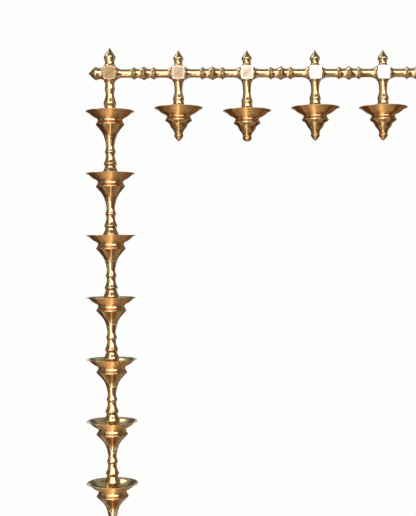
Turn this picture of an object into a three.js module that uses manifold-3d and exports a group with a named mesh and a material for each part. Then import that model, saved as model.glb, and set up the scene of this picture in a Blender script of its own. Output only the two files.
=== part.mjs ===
// Hanging frame of oil lamps in turned brass: a top rail of spindles between cross blocks, a short lamp
// hanging under each block, and a long column of lamp bowls on baluster stems under the corner block.
// Millimetres, +Z up, the front faces -Y. The origin is the middle of the corner block's rear face.
import * as THREE from "three";
import { mergeVertices } from "three/addons/utils/BufferGeometryUtils.js";
import Module from "manifold-3d";

const wasm = await Module();
wasm.setup();

// The run of the frame
const PENDANT_COUNT = 5;
const COLUMN_BOWL_COUNT = 8;
const BLOCK_PITCH = 138;
const BOWL_PITCH = 124.6;
const COLUMN_HANGER_LENGTH = 62.3;
const PENDANT_HANGER_LENGTH = 55.8;

// Pendants of a hand-made set differ a little: the second hangs lower and ends in a round knob
const LOW_PENDANT = 2;
const LOW_PENDANT_EXTRA = 6;

// Cross blocks
const BLOCK_WIDTH = 25.2;
const BLOCK_HEIGHT = 27.4;
const BLOCK_DEPTH = 27.4;
const BLOCK_EDGE = 1.6;
const BLOCK_CORNER = 3;

// Threaded joints: a stud turned on one piece stands in a socket of the next
const STUD_RADIUS = 4.2;
const STUD_CLEARANCE = 0.35;
const SEAT_GAP = 0.3;
const BLOCK_STUD_LENGTH = 7;
const BOWL_STUD_LENGTH = 14;
const SOCKET_SPARE = 1;

// Rail spindles
const SPINDLE_RADIUS = 8.5;
const SPINDLE_HOLLOW_RADIUS = 9;
const SPINDLE_COLLAR_RADIUS = 13.3;
const SPINDLE_COLLAR_LENGTH = 11;
const MIDDLE_BEAD_RADIUS = 14.3;
const SIDE_BEAD_RADIUS = 13.1;
const SIDE_BEAD_HALF_LENGTH = 8;
const BEAD_SPACING = 19.9;

// Bowls, from the rim down
const RIM_RADIUS = 49.3;
const RIM_GROWTH = 0.42;
const LIP_THICKNESS = 1.4;
const LIP_UNDERCUT = 0.5;
const WALL = 2;
const FLOOR_THICKNESS = 4.5;
const NECK_DROP = 17;
const NECK_TO_LEDGE = 0.868;
const COLUMN_LEDGE_DROP = 26;
const COLUMN_LEDGE_RADIUS = 28.7;
const LEDGE_GROWTH = 0.56;
const PENDANT_LEDGE_DROP = 24.6;
const PENDANT_LEDGE_RADIUS = 27.2;
const LEDGE_THICKNESS = 1.8;
const LEDGE_UNDERCUT = 0.4;
const TAPER_LENGTH = 23.6;
const TAPER_END_RADIUS = 12.6;
const BULB_LENGTH = 24;
const BULB_RADIUS = 18.2;
const BULB_END_RADIUS = 8.8;

// Feet of the stems, which stand on the bowl floors
const FOOT_RADIUS = 15.2;
const FOOT_HEIGHT = 11;
const FOOT_FLARE_HEIGHT = 5.5;
const NECK_BELOW_RING = 6.4;

// Stems between the bowls
const STEM_WAIST_RADIUS = 8.3;
const STEM_BEAD_RADIUS = 10.8;
const STEM_BEAD_DROP = 29.6;
const STEM_RING_RADIUS = 13.2;
const STEM_RING_ABOVE_RIM = 20.2;
const STEM_NECK_RADIUS = 11.5;

// Hangers under the blocks
const HANGER_COLLAR_RADIUS = 12.4;
const COLUMN_HANGER_RING_RADIUS = 12.6;
const COLUMN_HANGER_RING_ABOVE_RIM = 16.3;
const COLUMN_HANGER_NECK_RADIUS = 11.2;
const COLUMN_HANGER_BULGE_RADIUS = 10;
const COLUMN_HANGER_WAIST_RADIUS = 8.2;
const PENDANT_HANGER_RING_RADIUS = 11.5;
const PENDANT_HANGER_RING_ABOVE_RIM = 20.2;
const PENDANT_HANGER_NECK_RADIUS = 10.1;
const PENDANT_HANGER_WAIST_RADIUS = 7.8;

// Finials, with the heights of the neck and shoulder as shares of the length
const TOP_FINIAL = { length: 33, base: 11.6, neck: 7.7, shoulder: 10.5, neckAt: 0.21, shoulderAt: 0.5 };
const CORNER_FINIAL = { length: 38.6, base: 12.6, neck: 9.4, shoulder: 11.9, neckAt: 0.21, shoulderAt: 0.49 };
const END_FINIAL = { length: 30, base: 13, neck: 11.2, shoulder: 13.4, neckAt: 0.18, shoulderAt: 0.5 };
const DROP_RADIUS = 9.3;
const DROP_LENGTH = 17;
const KNOB_LENGTH = 11.6;

// Steps round each turned piece
const BOWL_STEPS = 16;
const STEM_STEPS = 8;
const SOCKET_STEPS = 8;

// Brass finishes
const POLISHED = { color: 0xc8923a, roughness: 0.22, metalness: 1 };
const BRUSHED = { color: 0xb08a4e, roughness: 0.42, metalness: 1 };

// Sizes that follow from the ones above
const SOCKET_RADIUS = STUD_RADIUS + STUD_CLEARANCE;
const BOWL_DEPTH = NECK_DROP - FLOOR_THICKNESS;

const frame = new THREE.Group();

// Adds one named piece at a place; a turned piece's own axis is Z
function place(name, geometry, finish, position, turn = [0, 0, 0]) {
  const mesh = new THREE.Mesh(geometry, new THREE.MeshStandardMaterial(finish));
  mesh.name = name;
  mesh.position.set(...position);
  mesh.rotation.set(...turn);
  frame.add(mesh);
}

// A piece turned on a lathe, from [radius, height] points that run up its outside and start and end on the axis,
// or run round the section and close on themselves
function turned(profile, steps) {
  const points = profile.map(([radius, height]) => new THREE.Vector2(radius, height));
  const geometry = new THREE.LatheGeometry(points, steps);
  geometry.rotateX(Math.PI / 2);
  return geometry;
}

// The closed solid of a geometry, ready for a cut
function solid(geometry) {
  const bare = geometry.index ? geometry.toNonIndexed() : geometry.clone();
  bare.deleteAttribute("normal");
  bare.deleteAttribute("uv");
  const merged = mergeVertices(bare, 1e-4);
  return new wasm.Manifold(new wasm.Mesh({
    numProp: 3,
    vertProperties: new Float32Array(merged.attributes.position.array),
    triVerts: new Uint32Array(merged.index.array),
  }));
}

function geometryOf(manifold) {
  const mesh = manifold.getMesh();
  const geometry = new THREE.BufferGeometry();
  geometry.setAttribute("position", new THREE.BufferAttribute(mesh.vertProperties, 3));
  geometry.setIndex(new THREE.BufferAttribute(mesh.triVerts, 1));
  geometry.computeVertexNormals();
  return geometry;
}

// A cross block: flat front and rear faces with cut corners and chamfered edges, and four tapped sockets
function crossBlock() {
  const right = BLOCK_WIDTH / 2 - BLOCK_EDGE;
  const top = BLOCK_HEIGHT / 2 - BLOCK_EDGE;
  const face = new THREE.Shape([
    new THREE.Vector2(-right + BLOCK_CORNER, -top),
    new THREE.Vector2(right - BLOCK_CORNER, -top),
    new THREE.Vector2(right, -top + BLOCK_CORNER),
    new THREE.Vector2(right, top - BLOCK_CORNER),
    new THREE.Vector2(right - BLOCK_CORNER, top),
    new THREE.Vector2(-right + BLOCK_CORNER, top),
    new THREE.Vector2(-right, top - BLOCK_CORNER),
    new THREE.Vector2(-right, -top + BLOCK_CORNER),
  ]);
  const body = new THREE.ExtrudeGeometry(face, {
    depth: BLOCK_DEPTH - 2 * BLOCK_EDGE,
    bevelThickness: BLOCK_EDGE,
    bevelSize: BLOCK_EDGE,
    bevelSegments: 1,
  });
  body.translate(0, 0, BLOCK_EDGE - BLOCK_DEPTH / 2);
  body.rotateX(Math.PI / 2);
  const socketDepth = BLOCK_STUD_LENGTH + SOCKET_SPARE;
  const drill = new THREE.CylinderGeometry(SOCKET_RADIUS, SOCKET_RADIUS, 2 * socketDepth, SOCKET_STEPS);
  let block = solid(body);
  for (const side of [-1, 1]) {
    const upright = drill.clone().rotateX(Math.PI / 2).translate(0, 0, side * BLOCK_HEIGHT / 2);
    const level = drill.clone().rotateZ(Math.PI / 2).translate(side * BLOCK_WIDTH / 2, 0, 0);
    block = block.subtract(solid(upright)).subtract(solid(level));
  }
  return geometryOf(block);
}

// A rail spindle, its middle at zero: a shaft between two flared collars, with a sharp bead in the middle, a
// smaller one on each side of it, and a stud at each end
function spindle() {
  const half = (BLOCK_PITCH - BLOCK_WIDTH) / 2 - SEAT_GAP;
  const hollow = SPINDLE_HOLLOW_RADIUS;
  const upper = [
    [MIDDLE_BEAD_RADIUS, 0],
    [hollow + 0.25 * (MIDDLE_BEAD_RADIUS - hollow), BEAD_SPACING * 0.33],
    [hollow, BEAD_SPACING * 0.58],
    [hollow + 0.42 * (SIDE_BEAD_RADIUS - hollow), BEAD_SPACING * 0.79],
    [SIDE_BEAD_RADIUS, BEAD_SPACING],
    [SPINDLE_RADIUS + 0.37 * (SIDE_BEAD_RADIUS - SPINDLE_RADIUS), BEAD_SPACING + SIDE_BEAD_HALF_LENGTH / 2],
    [SPINDLE_RADIUS, BEAD_SPACING + SIDE_BEAD_HALF_LENGTH],
    [SPINDLE_RADIUS, half - SPINDLE_COLLAR_LENGTH],
    [SPINDLE_RADIUS + 0.38 * (SPINDLE_COLLAR_RADIUS - SPINDLE_RADIUS), half - SPINDLE_COLLAR_LENGTH * 0.42],
    [SPINDLE_COLLAR_RADIUS, half],
    [STUD_RADIUS, half],
    [STUD_RADIUS, half + BLOCK_STUD_LENGTH],
    [0, half + BLOCK_STUD_LENGTH],
  ];
  const lower = upper.slice(1).reverse().map(([radius, height]) => [radius, -height]);
  return turned([...lower, ...upper], STEM_STEPS);
}

// The shape shared by all bowls, heights below the rim plane: a wide flared dish, a neck and a sharp ledge.
// Shares of the drop from rim to neck go with shares of the way in from rim to neck.
function dish(rimRadius, ledgeRadius, ledgeDrop) {
  const neckRadius = ledgeRadius * NECK_TO_LEDGE;
  const flank = (drop, share) => [neckRadius + share * (rimRadius - neckRadius), -NECK_DROP * drop];
  const lipFoot = flank(0.25, 0.71);
  const middle = flank(0.6, 0.41);
  const outside = [
    [ledgeRadius - LEDGE_UNDERCUT, -ledgeDrop - LEDGE_THICKNESS],
    [ledgeRadius, -ledgeDrop],
    [neckRadius + 0.25 * (ledgeRadius - neckRadius), -(0.4 * NECK_DROP + 0.6 * ledgeDrop)],
    [neckRadius, -NECK_DROP],
    middle,
    lipFoot,
    [rimRadius - LIP_UNDERCUT, -LIP_THICKNESS],
    [rimRadius, 0],
  ];
  const inside = [
    [lipFoot[0] - 0.7 * WALL, lipFoot[1] + 0.9 * WALL],
    [neckRadius + 0.06 * (rimRadius - neckRadius), -BOWL_DEPTH],
    [SOCKET_RADIUS, -BOWL_DEPTH],
  ];
  return { outside, inside };
}

// A bowl of the column: below its ledge it tapers in a hollow curve to the top of the next stem
function throughBowl(rimRadius, ledgeRadius) {
  const { outside, inside } = dish(rimRadius, ledgeRadius, COLUMN_LEDGE_DROP);
  const taperTop = COLUMN_LEDGE_DROP + LEDGE_THICKNESS;
  const taper = [0, 0.25, 0.5, 0.75].map((up) => {
    const radius = TAPER_END_RADIUS + (ledgeRadius - TAPER_END_RADIUS) * Math.pow(up, 1.4);
    return [radius, -taperTop - TAPER_LENGTH * (1 - up)];
  });
  const socket = [SOCKET_RADIUS, -taperTop - TAPER_LENGTH];
  return turned([socket, ...taper, ...outside, ...inside, socket], BOWL_STEPS);
}

// A bowl that ends a hanging lamp: below its ledge a rounded bulb draws in to the drop finial
function endBowl(rimRadius, ledgeRadius, ledgeDrop) {
  const { outside, inside } = dish(rimRadius, ledgeRadius, ledgeDrop);
  const bulbTop = ledgeDrop + LEDGE_THICKNESS;
  const bulb = [
    [BULB_END_RADIUS, -bulbTop - BULB_LENGTH],
    [BULB_END_RADIUS + 0.27 * (BULB_RADIUS - BULB_END_RADIUS), -bulbTop - BULB_LENGTH * 0.75],
    [BULB_END_RADIUS + 0.78 * (BULB_RADIUS - BULB_END_RADIUS), -bulbTop - BULB_LENGTH * 0.5],
    [BULB_RADIUS, -bulbTop - BULB_LENGTH * 0.28],
    [0.58 * BULB_RADIUS + 0.42 * ledgeRadius, -bulbTop - BULB_LENGTH * 0.13],
  ];
  const socket = [SOCKET_RADIUS, -bulbTop - BULB_LENGTH];
  return turned([socket, ...bulb, ...outside, ...inside, socket], BOWL_STEPS);
}

// The lower end of every stem, heights above the bowl floor: stud, foot, flare, neck and ring
function stemFoot(ringRadius, neckRadius, ringAboveRim) {
  const ringHeight = BOWL_DEPTH - SEAT_GAP + ringAboveRim;
  return [
    [0, -BOWL_STUD_LENGTH],
    [STUD_RADIUS, -BOWL_STUD_LENGTH],
    [STUD_RADIUS, 0],
    [FOOT_RADIUS, 0],
    [FOOT_RADIUS, FOOT_HEIGHT],
    [FOOT_RADIUS * 0.98, FOOT_HEIGHT + FOOT_FLARE_HEIGHT],
    [neckRadius, ringHeight - NECK_BELOW_RING],
    [ringRadius, ringHeight],
  ];
}

// The stem between two bowls of the column, heights above the lower bowl's floor
function longStem() {
  const bowlHeight = COLUMN_LEDGE_DROP + LEDGE_THICKNESS + TAPER_LENGTH;
  const top = BOWL_PITCH + BOWL_DEPTH - bowlHeight - 2 * SEAT_GAP;
  const bead = top - STEM_BEAD_DROP;
  const ring = BOWL_DEPTH - SEAT_GAP + STEM_RING_ABOVE_RIM;
  return turned([
    ...stemFoot(STEM_RING_RADIUS, STEM_NECK_RADIUS, STEM_RING_ABOVE_RIM),
    [STEM_WAIST_RADIUS + 0.27 * (STEM_RING_RADIUS - STEM_WAIST_RADIUS), ring + 0.4 * (bead - ring)],
    [STEM_WAIST_RADIUS + 0.2 * (STEM_BEAD_RADIUS - STEM_WAIST_RADIUS), ring + 0.7 * (bead - ring)],
    [STEM_BEAD_RADIUS, bead],
    [STEM_WAIST_RADIUS, bead + 0.34 * STEM_BEAD_DROP],
    [STEM_WAIST_RADIUS + 0.32 * (TAPER_END_RADIUS - STEM_WAIST_RADIUS), bead + 0.63 * STEM_BEAD_DROP],
    [TAPER_END_RADIUS, top],
    [STUD_RADIUS, top],
    [STUD_RADIUS, top + BOWL_STUD_LENGTH],
    [0, top + BOWL_STUD_LENGTH],
  ], STEM_STEPS);
}

// The top of a hanger: its collar under the block and the stud in the block's socket
function hangerTop(top) {
  return [
    [HANGER_COLLAR_RADIUS, top],
    [STUD_RADIUS, top],
    [STUD_RADIUS, top + BLOCK_STUD_LENGTH],
    [0, top + BLOCK_STUD_LENGTH],
  ];
}

// The stem from the corner block to the column's first bowl
function columnHanger() {
  const top = COLUMN_HANGER_LENGTH + BOWL_DEPTH - 2 * SEAT_GAP;
  const ring = BOWL_DEPTH - SEAT_GAP + COLUMN_HANGER_RING_ABOVE_RIM;
  const shaft = top - ring;
  return turned([
    ...stemFoot(COLUMN_HANGER_RING_RADIUS, COLUMN_HANGER_NECK_RADIUS, COLUMN_HANGER_RING_ABOVE_RIM),
    [COLUMN_HANGER_WAIST_RADIUS * 1.2, ring + 0.21 * shaft],
    [COLUMN_HANGER_WAIST_RADIUS, ring + 0.4 * shaft],
    [COLUMN_HANGER_BULGE_RADIUS, ring + 0.65 * shaft],
    [COLUMN_HANGER_WAIST_RADIUS * 1.1, ring + 0.8 * shaft],
    [COLUMN_HANGER_WAIST_RADIUS * 1.18, ring + 0.91 * shaft],
    ...hangerTop(top),
  ], STEM_STEPS);
}

// The stem from a block to the bowl of a pendant
function pendantHanger(length) {
  const top = length + BOWL_DEPTH - 2 * SEAT_GAP;
  const ring = BOWL_DEPTH - SEAT_GAP + PENDANT_HANGER_RING_ABOVE_RIM;
  const shaft = top - ring;
  return turned([
    ...stemFoot(PENDANT_HANGER_RING_RADIUS, PENDANT_HANGER_NECK_RADIUS, PENDANT_HANGER_RING_ABOVE_RIM),
    [PENDANT_HANGER_WAIST_RADIUS * 1.17, ring + 0.24 * shaft],
    [PENDANT_HANGER_WAIST_RADIUS, ring + 0.42 * shaft],
    [PENDANT_HANGER_WAIST_RADIUS * 1.1, ring + 0.67 * shaft],
    [PENDANT_HANGER_WAIST_RADIUS * 1.3, ring + 0.89 * shaft],
    ...hangerTop(top),
  ], STEM_STEPS);
}

// A finial on the outer side of a block: base, neck, shoulder and cone
function blockFinial({ length, base, neck, shoulder, neckAt, shoulderAt }) {
  const cone = length * (1 - shoulderAt);
  return turned([
    [0, -BLOCK_STUD_LENGTH],
    [STUD_RADIUS, -BLOCK_STUD_LENGTH],
    [STUD_RADIUS, 0],
    [base, 0],
    [neck, length * neckAt],
    [shoulder, length * shoulderAt],
    [shoulder * 0.82, length - cone * 0.72],
    [shoulder * 0.3, length - cone * 0.2],
    [0, length],
  ], STEM_STEPS);
}

// The finial under an end bowl, hanging from zero: a pointed drop or a round knob
function dropFinial(length, pointed) {
  return turned([
    [0, -length],
    [DROP_RADIUS * (pointed ? 0.5 : 0.75), -length * 0.8],
    [DROP_RADIUS, -length * 0.38],
    [BULB_END_RADIUS, 0],
    [STUD_RADIUS, 0],
    [STUD_RADIUS, BOWL_STUD_LENGTH],
    [0, BOWL_STUD_LENGTH],
  ], STEM_STEPS);
}

const axisY = -BLOCK_DEPTH / 2;
const blockSide = BLOCK_WIDTH / 2 + SEAT_GAP;
const blockTop = BLOCK_HEIGHT / 2 + SEAT_GAP;

// The rail: blocks, spindles and finials
for (let i = 0; i <= PENDANT_COUNT; i++) {
  const x = i * BLOCK_PITCH;
  place(`cross_block_${i + 1}`, crossBlock(), BRUSHED, [x, axisY, 0]);
  const finial = blockFinial(i === 0 ? CORNER_FINIAL : TOP_FINIAL);
  place(`top_finial_${i + 1}`, finial, POLISHED, [x, axisY, blockTop]);
  if (i < PENDANT_COUNT) {
    const middle = x + BLOCK_PITCH / 2;
    place(`rail_spindle_${i + 1}`, spindle(), POLISHED, [middle, axisY, 0], [0, Math.PI / 2, 0]);
  }
}
const railEnd = PENDANT_COUNT * BLOCK_PITCH + blockSide;
place("left_end_finial", blockFinial(END_FINIAL), POLISHED, [-blockSide, axisY, 0], [0, -Math.PI / 2, 0]);
place("right_end_finial", blockFinial(END_FINIAL), POLISHED, [railEnd, axisY, 0], [0, Math.PI / 2, 0]);

// Hangs an end bowl and its drop finial with the rim at a height
function hangEndBowl(name, x, rimHeight, bowl, ledgeDrop, pointed) {
  const bowlHeight = ledgeDrop + LEDGE_THICKNESS + BULB_LENGTH;
  place(`${name}_bowl`, bowl, POLISHED, [x, axisY, rimHeight]);
  const drop = dropFinial(pointed ? DROP_LENGTH : KNOB_LENGTH, pointed);
  place(`${name}_drop_finial`, drop, POLISHED, [x, axisY, rimHeight - bowlHeight - SEAT_GAP]);
}

// The pendants under the blocks of the rail
for (let i = 1; i <= PENDANT_COUNT; i++) {
  const low = i === LOW_PENDANT;
  const length = PENDANT_HANGER_LENGTH + (low ? LOW_PENDANT_EXTRA : 0);
  const rim = -BLOCK_HEIGHT / 2 - length;
  const x = i * BLOCK_PITCH;
  place(`pendant_${i}_hanger`, pendantHanger(length), POLISHED, [x, axisY, rim - BOWL_DEPTH + SEAT_GAP]);
  const bowl = endBowl(RIM_RADIUS, PENDANT_LEDGE_RADIUS, PENDANT_LEDGE_DROP);
  hangEndBowl(`pendant_${i}`, x, rim, bowl, PENDANT_LEDGE_DROP, !low);
}

// The column under the corner block: each bowl is a little wider than the one above it
const firstRim = -BLOCK_HEIGHT / 2 - COLUMN_HANGER_LENGTH;
place("column_hanger", columnHanger(), POLISHED, [0, axisY, firstRim - BOWL_DEPTH + SEAT_GAP]);
for (let i = 0; i < COLUMN_BOWL_COUNT; i++) {
  const rim = firstRim - i * BOWL_PITCH;
  const rimRadius = RIM_RADIUS + i * RIM_GROWTH;
  const ledgeRadius = COLUMN_LEDGE_RADIUS + i * LEDGE_GROWTH;
  if (i > 0) {
    place(`column_stem_${i}`, longStem(), POLISHED, [0, axisY, rim - BOWL_DEPTH + SEAT_GAP]);
  }
  if (i < COLUMN_BOWL_COUNT - 1) {
    place(`column_bowl_${i + 1}`, throughBowl(rimRadius, ledgeRadius), POLISHED, [0, axisY, rim]);
  } else {
    const bowl = endBowl(rimRadius, ledgeRadius, COLUMN_LEDGE_DROP);
    hangEndBowl("column_end", 0, rim, bowl, COLUMN_LEDGE_DROP, true);
  }
}

export default frame;
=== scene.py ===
import math

import bpy
from bpy.props import FloatProperty, FloatVectorProperty, IntProperty, PointerProperty
from bpy.types import Operator, Panel, PropertyGroup
from mathutils import Matrix, Vector
from mathutils.kdtree import KDTree


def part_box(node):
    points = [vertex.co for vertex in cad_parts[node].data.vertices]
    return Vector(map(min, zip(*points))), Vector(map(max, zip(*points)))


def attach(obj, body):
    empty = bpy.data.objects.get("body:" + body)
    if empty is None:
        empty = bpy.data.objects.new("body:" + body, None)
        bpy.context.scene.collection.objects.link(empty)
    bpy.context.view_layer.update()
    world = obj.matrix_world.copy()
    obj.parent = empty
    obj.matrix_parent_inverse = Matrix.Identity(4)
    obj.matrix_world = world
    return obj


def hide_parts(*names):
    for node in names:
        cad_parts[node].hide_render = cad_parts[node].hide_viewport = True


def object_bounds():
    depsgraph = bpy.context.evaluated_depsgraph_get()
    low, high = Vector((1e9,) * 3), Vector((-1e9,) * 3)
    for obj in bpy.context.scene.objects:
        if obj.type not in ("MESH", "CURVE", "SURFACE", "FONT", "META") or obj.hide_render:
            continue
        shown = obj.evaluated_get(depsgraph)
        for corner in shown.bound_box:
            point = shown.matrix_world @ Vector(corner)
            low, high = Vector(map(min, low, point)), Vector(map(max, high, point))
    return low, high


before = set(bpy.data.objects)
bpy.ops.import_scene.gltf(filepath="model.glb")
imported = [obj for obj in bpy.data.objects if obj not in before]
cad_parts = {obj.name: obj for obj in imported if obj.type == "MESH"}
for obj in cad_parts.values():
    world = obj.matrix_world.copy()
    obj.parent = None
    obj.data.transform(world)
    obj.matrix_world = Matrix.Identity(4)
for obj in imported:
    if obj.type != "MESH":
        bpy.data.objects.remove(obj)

bl_info = {
    "name": "Hanging Diya Frame",
    "version": (1, 0, 0),
    "blender": (4, 5, 0),
    "location": "3D View > Sidebar > Diya",
    "description": "Turned brass pieces, finishes and studio for a hanging frame of oil lamps",
    "category": "Object",
}

MM = 0.001
CAD_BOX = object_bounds()
BLOCKS = 6
PENDANTS = 5
COLUMN_BOWLS = 8
LOW_PENDANT = 2

# Faces that meet at less than this angle are shaded as one smooth surface
SMOOTH_ANGLE = math.radians(34)

# Units of the turning map for each metre along a profile
MAP_SCALE = 10

# Lengths below a bowl's ledge in millimetres, and how much the ledge's edge leans in below
TAPER_LENGTH = 23.6
BULB_LENGTH = 24
LEDGE_LEAN = 0.3

# Heights on a bowl in millimetres from its rim, where its finish changes
INSIDE_END = -13.2
FLANK_END = -16
LIP_END = -1
TAPER_START = -26.3

# Material slots of a bowl; the first is the polished one
UNDERSIDE, INSIDE, TAPER = 1, 2, 3

# Soft panels of the studio as the brass sees them: left, right, bottom, top and soft edge in degrees from the
# front, brightness and colour. At brightness 1 a panel's mirror image is white. A later panel covers an
# earlier one.
PANELS = (
    (-98, -62, -24, 15, 8, 0.42, (1, 0.95, 0.85)),
    (-42, -8, -46, -20, 5, 1.3, (1, 0.98, 0.95)),
    (-50, -8, -30, 6, 6, 1.1, (1, 0.95, 0.88)),
    (-52, -12, 6, 48, 8, 1.0, (1, 0.97, 0.92)),
    (-96, -30, 50, 74, 8, 0.35, (1, 0.97, 0.9)),
    (-20, 50, 12, 40, 6, 2.8, (1, 0.99, 0.98)),
    (-22, 2, -34, 7, 5, 2.5, (1, 1, 1)),
    (4, 28, 1, 22, 5, 2.8, (1, 1, 1)),
    (10, 40, -28, 1, 8, 0.5, (1, 0.86, 0.7)),
    (-112, -84, 46, 68, 6, 4.5, (0.98, 1, 0.97)),
    (110, 190, 36, 80, 10, 0.42, (1, 1, 0.97)),
    (-190, -112, 36, 80, 10, 0.42, (1, 1, 0.97)),
    (104, 140, -35, 15, 10, 0.4, (1, 0.72, 0.45)),
)

# The dark room round the panels: height, from 0 straight below to 1 straight above, and colour
ROOM = (
    (0.0, (0.10, 0.07, 0.045)),
    (0.36, (0.1, 0.07, 0.045)),
    (0.5, (0.1, 0.085, 0.06)),
    (0.62, (0.13, 0.12, 0.1)),
    (0.8, (0.14, 0.13, 0.11)),
    (1.0, (0.16, 0.16, 0.14)),
)

# Lamps: name, place, target, width and height, brightness and colour
LAMPS = (
    ("strip below", (0.1, -0.85, -1.85), (0.1, -0.6, 0), (0.16, 1.4), 5.2, (1, 0.96, 0.88)),
    ("softbox above the left", (-0.9, -1.9, 1.3), (0.1, 0, -0.3), (1.2, 1.2), 0.7, (1, 0.98, 0.95)),
)

# Painted shade on the brushed faces of the first blocks, which catch less light than the others:
# 0 is the bright face colour, 1 the darker shaded colour
PAINTED_FACE_SHADE = (1.0, 0.8, 0.5)


# Sizes that a maker would change, in metres

class DiyaSizes(PropertyGroup):
    bowl_steps: IntProperty(name="Bowl Steps", description="Steps round a turned bowl", default=96, min=16)
    stem_steps: IntProperty(name="Stem Steps", description="Steps round a stem, spindle or finial",
                            default=64, min=12)
    spacing: FloatProperty(name="Spacing", description="Distance between rings along a curved profile",
                           default=1.1 * MM, min=0.2 * MM, unit="LENGTH")
    edge: FloatProperty(name="Edge", description="Softening of turned edges and ridges",
                        default=0.5 * MM, min=0.05 * MM, unit="LENGTH")
    wall: FloatProperty(name="Wall", description="Thickness of a bowl's wall",
                        default=1.8 * MM, unit="LENGTH")
    floor_drop: FloatProperty(name="Floor Drop", description="Depth of a bowl's floor below its rim",
                              default=12.5 * MM, unit="LENGTH")
    neck_drop: FloatProperty(name="Neck Drop", description="Depth of a bowl's neck below its rim",
                             default=17 * MM, unit="LENGTH")
    neck_share: FloatProperty(name="Neck Share", description="Neck radius as a share of the ledge's",
                              default=0.868, subtype="FACTOR", min=0.5, max=1)
    ledge_thickness: FloatProperty(name="Ledge Thickness", description="Height of the ledge's edge",
                                   default=1.8 * MM, unit="LENGTH")
    column_ledge: FloatProperty(name="Column Ledge", description="Ledge radius of the column's first bowl",
                                default=28.7 * MM, unit="LENGTH")
    ledge_growth: FloatProperty(name="Ledge Growth", description="How much the ledge grows from bowl to bowl",
                                default=0.56 * MM, unit="LENGTH")
    column_ledge_drop: FloatProperty(name="Column Ledge Drop", description="Depth of the column bowls' ledge",
                                     default=26 * MM, unit="LENGTH")
    pendant_ledge: FloatProperty(name="Pendant Ledge", description="Ledge radius of the pendant bowls",
                                 default=27.2 * MM, unit="LENGTH")
    pendant_ledge_drop: FloatProperty(name="Pendant Ledge Drop",
                                      description="Depth of the pendant bowls' ledge",
                                      default=24.6 * MM, unit="LENGTH")
    joint_radius: FloatProperty(name="Joint Radius", description="Radius where a column bowl meets its stem",
                                default=12.6 * MM, unit="LENGTH")
    bulb_end: FloatProperty(name="Bulb End", description="Radius where an end bowl meets its drop finial",
                            default=8.8 * MM, unit="LENGTH")
    stud: FloatProperty(name="Stud", description="Radius of the studs",
                        default=4.2 * MM, unit="LENGTH")
    socket: FloatProperty(name="Socket", description="Radius of the sockets",
                          default=4.55 * MM, unit="LENGTH")
    bowl_stud: FloatProperty(name="Bowl Stud", description="Length of the studs in the bowls",
                             default=14 * MM, unit="LENGTH")
    block_stud: FloatProperty(name="Block Stud", description="Length of the studs in the blocks",
                              default=7 * MM, unit="LENGTH")
    foot: FloatProperty(name="Foot", description="Radius of the stems' feet",
                        default=15.2 * MM, unit="LENGTH")
    block_corner: FloatProperty(name="Block Corner", description="Rounding of the blocks' four long corners",
                                default=3.8 * MM, unit="LENGTH")
    block_edge: FloatProperty(name="Block Edge", description="Rounding of the blocks' front and rear edges",
                              default=1.3 * MM, unit="LENGTH")


# Colours and finishes of the brass

class DiyaFinish(PropertyGroup):
    polished: FloatVectorProperty(name="Polished Brass", description="Colour of the polished stems and rims",
                                  default=(0.89, 0.62, 0.35), subtype="COLOR", min=0, max=1)
    flank: FloatVectorProperty(name="Bowl Flank", description="Colour of the bowls' turned undersides",
                               default=(0.93, 0.51, 0.19), subtype="COLOR", min=0, max=1)
    warm: FloatVectorProperty(name="Warm Brass", description="Colour of the tapers, bulbs and drops",
                              default=(0.64, 0.37, 0.15), subtype="COLOR", min=0, max=1)
    inside: FloatVectorProperty(name="Bowl Inside", description="Colour of the bowls' insides",
                                default=(0.66, 0.52, 0.28), subtype="COLOR", min=0, max=1)
    face: FloatVectorProperty(name="Block Face", description="Colour of the blocks' brushed faces",
                              default=(0.95, 0.87, 0.76), subtype="COLOR", min=0, max=1)
    # Painted shade: the darker colour that the first blocks' faces are mixed towards, as they catch less
    # light
    shaded_face: FloatVectorProperty(name="Shaded Block Face",
                                   description="Colour of the first blocks' faces, painted darker as shade",
                                   default=(0.31, 0.212, 0.11), subtype="COLOR", min=0, max=1)
    tarnish: FloatVectorProperty(name="Tarnish",
                                 description="Colour of the brown film in corners and hollows",
                                 default=(0.30, 0.17, 0.07), subtype="COLOR", min=0, max=1)
    worn: FloatVectorProperty(name="Worn Edge", description="Colour of edges that cloths have kept bright",
                              default=(0.80, 0.60, 0.33), subtype="COLOR", min=0, max=1)
    tarnish_amount: FloatProperty(name="Tarnish Amount", description="How much of the film there is",
                                  default=0.5, min=0, max=1, subtype="FACTOR")
    line_height: FloatProperty(name="Line Height", description="Height of the lathe lines in the shading",
                               default=0.012 * MM, unit="LENGTH")
    polish_roughness: FloatProperty(name="Polish Roughness", description="Roughness of the polished brass",
                                    default=0.13, min=0, max=1, subtype="FACTOR")
    satin_roughness: FloatProperty(name="Satin Roughness", description="Roughness of the turned undersides",
                                   default=0.37, min=0, max=1, subtype="FACTOR")
    brushed_roughness: FloatProperty(name="Brushed Roughness", description="Roughness of the block faces",
                                     default=0.26, min=0, max=1, subtype="FACTOR")


# The camera and the studio

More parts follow.
